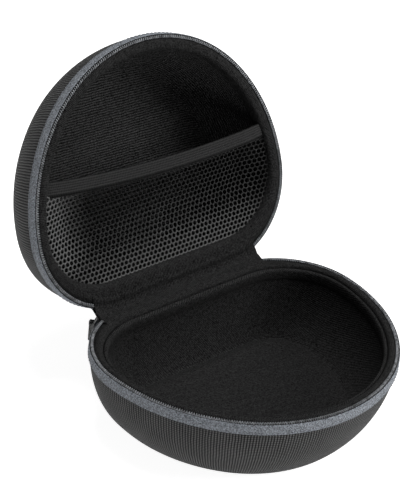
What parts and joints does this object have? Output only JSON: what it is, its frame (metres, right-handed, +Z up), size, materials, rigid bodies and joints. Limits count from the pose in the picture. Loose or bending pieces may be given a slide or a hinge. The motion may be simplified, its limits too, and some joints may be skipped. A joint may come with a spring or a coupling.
{
  "type": "headphone carrying case",
  "caption": "Zip-round clamshell case with moulded foam halves, a padded rim, a cloth hinge and a mesh pocket in the lid, shown open.",
  "frame": {"origin": "on the tray's flat base, below the middle of the tray's rim", "axes": "+Z up out of the tray; +Y from the front of the case to the hinge; +X along the hinge, to the right of someone facing the open case"},
  "size_m": [0.196, 0.2528, 0.2046],
  "materials": {
    "ribbed_nylon": "ribbed woven nylon moulded over foam",
    "tricot_lining": "brushed tricot over foam",
    "plush_rim": "short-pile plush",
    "zip_tape": "blue-grey woven zip tape",
    "zip_coil": "nylon coil",
    "hinge_gusset": "smooth cloth",
    "elastic": "ribbed woven elastic",
    "pocket_knit": "honeycomb knit mesh",
    "dark_metal": "dark plated zinc"
  },
  "bodies": {
    "tray": {"tray_shell": "ribbed_nylon", "tray_liner": "tricot_lining", "tray_rim_pad": "plush_rim", "tray_lip": "tricot_lining", "tray_zip_tape": "zip_tape", "tray_zip_coil": "zip_coil", "hinge_cloth": "ribbed_nylon", "hinge_lining": "plush_rim", "hinge_gusset_left": "hinge_gusset", "hinge_gusset_right": "hinge_gusset"},
    "lid": {"lid_shell": "ribbed_nylon", "lid_liner": "tricot_lining", "lid_rim_pad": "plush_rim", "lid_zip_tape": "zip_tape", "lid_zip_coil": "zip_coil", "pocket_elastic": "elastic", "pocket_mesh": "pocket_knit", "pocket_hem": "elastic"},
    "zip_slider": {"zip_slider": "dark_metal"},
    "zip_pull": {"zip_pull": "dark_metal"}
  },
  "joints": [
    {"name": "lid_hinge", "type": "hinge", "parent": "tray", "child": "lid", "pos_m": [0, 0.07825, 0.0576], "axis": [1, 0, 0], "range_deg": [0, 109.8], "deforming": ["hinge_cloth", "hinge_lining", "hinge_gusset_left", "hinge_gusset_right"]},
    {"name": "slider_travel", "type": "slide", "parent": "tray", "child": "zip_slider", "axis": [-0.8988, -0.4384, 0], "range_m": [0, 0.005]},
    {"name": "pull_swing", "type": "hinge", "parent": "zip_slider", "child": "zip_pull", "pos_m": [-0.06992, 0.07635, 0.0556], "axis": [0.8988, 0.4384, 0], "range_deg": [-8, 60]}
  ]
}
